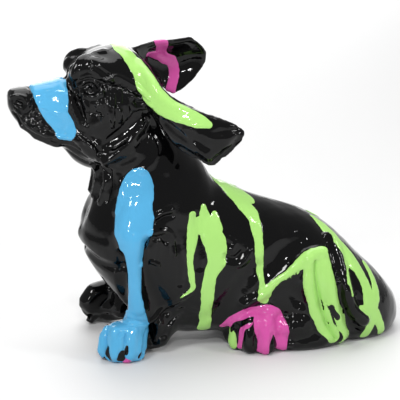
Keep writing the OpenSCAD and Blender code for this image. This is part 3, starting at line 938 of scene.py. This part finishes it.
class HOUND_OT_castings(bpy.types.Operator):
    """Parts the skin along the castings' seams and closes each piece"""

    bl_idname = "hound.castings"
    bl_label = "Part the Castings"

    def execute(self, context):
        skin = Skin()
        skin.attribute("skin_normal", skin.n, "FLOAT_VECTOR")
        finish = glaze_material(context.scene.hound_glaze)
        for k, node in enumerate(NODES):
            piece = self.take(skin.mesh, k, "glazed_" + node)
            piece.data.materials.append(finish)
            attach(piece, "root")
            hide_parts(node)
        bpy.data.objects.remove(bpy.data.objects[SKIN])
        return {"FINISHED"}

    def take(self, mesh, casting, name):
        """One casting's share of the skin as a closed piece with the skin's normals."""
        bm = bmesh.new()
        bm.from_mesh(mesh)
        mark = bm.faces.layers.int["casting"]
        others = [f for f in bm.faces if f[mark] != casting]
        bmesh.ops.delete(bm, geom=others, context="FACES")
        self.close(bm)
        bmesh.ops.recalc_face_normals(bm, faces=bm.faces)
        piece = finish_mesh(bm, name)
        piece.data.shade_smooth()
        kept = piece.data.attributes["skin_normal"]
        normals = np.empty(len(kept.data) * 3, np.float32)
        kept.data.foreach_get("vector", normals)
        piece.data.normals_split_custom_set_from_vertices(normals.reshape(-1, 3).tolist())
        piece.data.attributes.remove(piece.data.attributes["skin_normal"])
        return piece

    def close(self, bm):
        """Draws each open edge loop in to its middle, and a little into the figure."""
        normal = bm.verts.layers.float_vector["skin_normal"]
        # Dictionaries keep their order, so that every run gives the same faces.
        edges = dict.fromkeys(e for e in bm.edges if e.is_boundary)
        while edges:
            loop = [next(iter(edges))]
            del edges[loop[0]]
            pile = list(loop[0].verts)
            verts = dict.fromkeys(pile)
            while pile:
                for edge in pile.pop().link_edges:
                    if edge in edges:
                        del edges[edge]
                        loop.append(edge)
                        for vert in edge.verts:
                            if vert not in verts:
                                verts[vert] = True
                                pile.append(vert)
            middle = sum((v.co for v in verts), Vector()) / len(verts)
            outward = sum((v[normal] for v in verts), Vector()) / len(verts)
            centre = bm.verts.new(middle - outward * SEAM_TUCK)
            centre[normal] = outward.normalized() if outward.length > 0 else Vector((0, 0, 1))
            for edge in loop:
                bm.faces.new((*edge.verts, centre))


# Half the width over which a run's colour sets in, in drawn millimetres.
RUN_BLUR = 0.12
# The fine grain of the glaze: its scale, the spread of its roughness, and its bump.
GRAIN_SCALE = 220
GRAIN_SPREAD = (0.6, 1.6)
GRAIN_STRENGTH = 0.25
GRAIN_HEIGHT = 0.0006


def glaze_material(glaze):
    """Black glaze with the enamel runs laid over it by their distance attributes."""
    mat = bpy.data.materials.new("black_glaze")
    mat.use_nodes = True
    nodes = mat.node_tree.nodes
    links = mat.node_tree.links
    shader = nodes["Principled BSDF"]
    shader.inputs["IOR"].default_value = 1.36
    colour = nodes.new("ShaderNodeRGB").outputs[0]
    colour.default_value = (*glaze.black, 1)
    for name in ("green", "blue", "magenta"):
        gap = nodes.new("ShaderNodeAttribute")
        gap.attribute_name = name + "_gap"
        edge = nodes.new("ShaderNodeMapRange")
        edge.inputs["From Min"].default_value = RUN_BLUR
        edge.inputs["From Max"].default_value = -RUN_BLUR
        links.new(gap.outputs["Fac"], edge.inputs["Value"])
        mix = nodes.new("ShaderNodeMix")
        mix.data_type = "RGBA"
        links.new(edge.outputs[0], mix.inputs["Factor"])
        links.new(colour, mix.inputs["A"])
        mix.inputs["B"].default_value = (*getattr(glaze, name), 1)
        colour = mix.outputs["Result"]
    links.new(colour, shader.inputs["Base Color"])
    place = nodes.new("ShaderNodeTexCoord")
    noise = nodes.new("ShaderNodeTexNoise")
    noise.inputs["Scale"].default_value = GRAIN_SCALE
    noise.inputs["Detail"].default_value = 3
    links.new(place.outputs["Object"], noise.inputs["Vector"])
    rough = nodes.new("ShaderNodeMapRange")
    rough.inputs["To Min"].default_value = glaze.roughness * GRAIN_SPREAD[0]
    rough.inputs["To Max"].default_value = glaze.roughness * GRAIN_SPREAD[1]
    links.new(noise.outputs["Fac"], rough.inputs["Value"])
    links.new(rough.outputs[0], shader.inputs["Roughness"])
    bump = nodes.new("ShaderNodeBump")
    bump.inputs["Strength"].default_value = GRAIN_STRENGTH
    bump.inputs["Distance"].default_value = GRAIN_HEIGHT
    links.new(noise.outputs["Fac"], bump.inputs["Height"])
    links.new(bump.outputs[0], shader.inputs["Normal"])
    return mat


# ---- Stage ----
# The table is far wider than the view, and lies just under the feet.
TABLE_HALF = 60.0
TABLE_DROP = 0.0005
# Where the camera looks, in drawn millimetres, and where the lamps point, in metres.
AIM = (144, 0, 110)
LAMP_AIM = (0, 0, 0.1)
# Name, place, width and power of each soft lamp.
LAMPS = [
    ("rim", (0.1, 2.7, 1.3), 2.2, 34),
    ("key", (-0.7, -0.6, 1.0), 0.25, 6),
    ("side", (0.9, -0.5, 0.8), 0.2, 4),
    ("spark", (-0.1, -1.0, 0.9), 0.08, 3),
    ("low_spark", (-0.5, -1.1, 0.35), 0.08, 2),
]


class HOUND_OT_stage(bpy.types.Operator):
    """Sets the table, the light and the camera"""

    bl_idname = "hound.stage"
    bl_label = "Set the Stage"

    def execute(self, context):
        stage = context.scene.hound_stage
        self.floor()
        self.light(context.scene)
        self.camera(context.scene, stage)
        return {"FINISHED"}

    def floor(self):
        bm = bmesh.new()
        bmesh.ops.create_grid(bm, x_segments=1, y_segments=1, size=TABLE_HALF,
                              matrix=Matrix.Translation((0, 0, -TABLE_DROP)))
        floor = finish_mesh(bm, "table")
        mat = bpy.data.materials.new("pale_table")
        mat.use_nodes = True
        shader = mat.node_tree.nodes["Principled BSDF"]
        shader.inputs["Base Color"].default_value = (0.68, 0.68, 0.68, 1)
        shader.inputs["Roughness"].default_value = 0.6
        floor.data.materials.append(mat)

    def light(self, scene):
        world = bpy.data.worlds.new("studio")
        world.use_nodes = True
        sky = world.node_tree.nodes["Background"]
        sky.inputs["Color"].default_value = (1, 1, 1, 1)
        sky.inputs["Strength"].default_value = 0.35
        scene.world = world
        overhead = self.lamp(scene, "overhead", "SUN", (0.1, 0.5, 1.5), 1.7)
        overhead.data.angle = math.radians(50)
        for name, place, size, power in LAMPS:
            self.lamp(scene, name, "AREA", place, power).data.size = size

    def lamp(self, scene, name, kind, place, power):
        """A lamp at a place, aimed at the figure."""
        data = bpy.data.lights.new(name, kind)
        data.energy = power
        lamp = bpy.data.objects.new(name, data)
        lamp.location = place
        aim = Vector(LAMP_AIM) - Vector(place)
        lamp.rotation_euler = aim.to_track_quat("-Z", "Y").to_euler()
        scene.collection.objects.link(lamp)
        return lamp

    def camera(self, scene, stage):
        data = bpy.data.cameras.new("view")
        data.lens = data.sensor_width * stage.distance / stage.field
        camera = bpy.data.objects.new("view", data)
        aim = Vector(to_frame(AIM))
        flat = math.cos(stage.elevation)
        back = Vector((math.sin(stage.azimuth) * flat, -math.cos(stage.azimuth) * flat,
                       math.sin(stage.elevation)))
        camera.location = aim + back * stage.distance
        camera.rotation_euler = back.to_track_quat("Z", "Y").to_euler()
        scene.collection.objects.link(camera)
        scene.camera = camera
        scene.view_settings.view_transform = "Standard"


class HOUND_PT_panel(bpy.types.Panel):
    """Lists the hound's settings and the steps of making it"""

    bl_idname = "HOUND_PT_panel"
    bl_label = "Glazed Hound"
    bl_space_type = "VIEW_3D"
    bl_region_type = "UI"
    bl_category = "Hound"

    def draw(self, context):
        for name, group in GROUPS.items():
            box = self.layout.box()
            for field in group.__annotations__:
                box.prop(getattr(context.scene, name), field)
        for step in STEPS:
            self.layout.operator(step.bl_idname)


STEPS = (HOUND_OT_skin, HOUND_OT_body, HOUND_OT_head, HOUND_OT_ears, HOUND_OT_feet, HOUND_OT_coat,
         HOUND_OT_enamel, HOUND_OT_castings, HOUND_OT_stage)
GROUPS = {"hound_clay": HoundClay, "hound_glaze": HoundGlaze, "hound_stage": HoundStage}


def register():
    for cls in (*GROUPS.values(), *STEPS, HOUND_PT_panel):
        bpy.utils.register_class(cls)
    for name, group in GROUPS.items():
        setattr(bpy.types.Scene, name, PointerProperty(type=group))


def unregister():
    for name in GROUPS:
        delattr(bpy.types.Scene, name)
    for cls in (HOUND_PT_panel, *reversed(STEPS), *reversed(list(GROUPS.values()))):
        bpy.utils.unregister_class(cls)


def main():
    register()
    bpy.ops.hound.skin()
    bpy.ops.hound.body()
    bpy.ops.hound.head()
    bpy.ops.hound.ears()
    bpy.ops.hound.feet()
    bpy.ops.hound.coat()
    bpy.ops.hound.enamel()
    bpy.ops.hound.castings()
    bpy.ops.hound.stage()


if __name__ == "__main__":
    main()
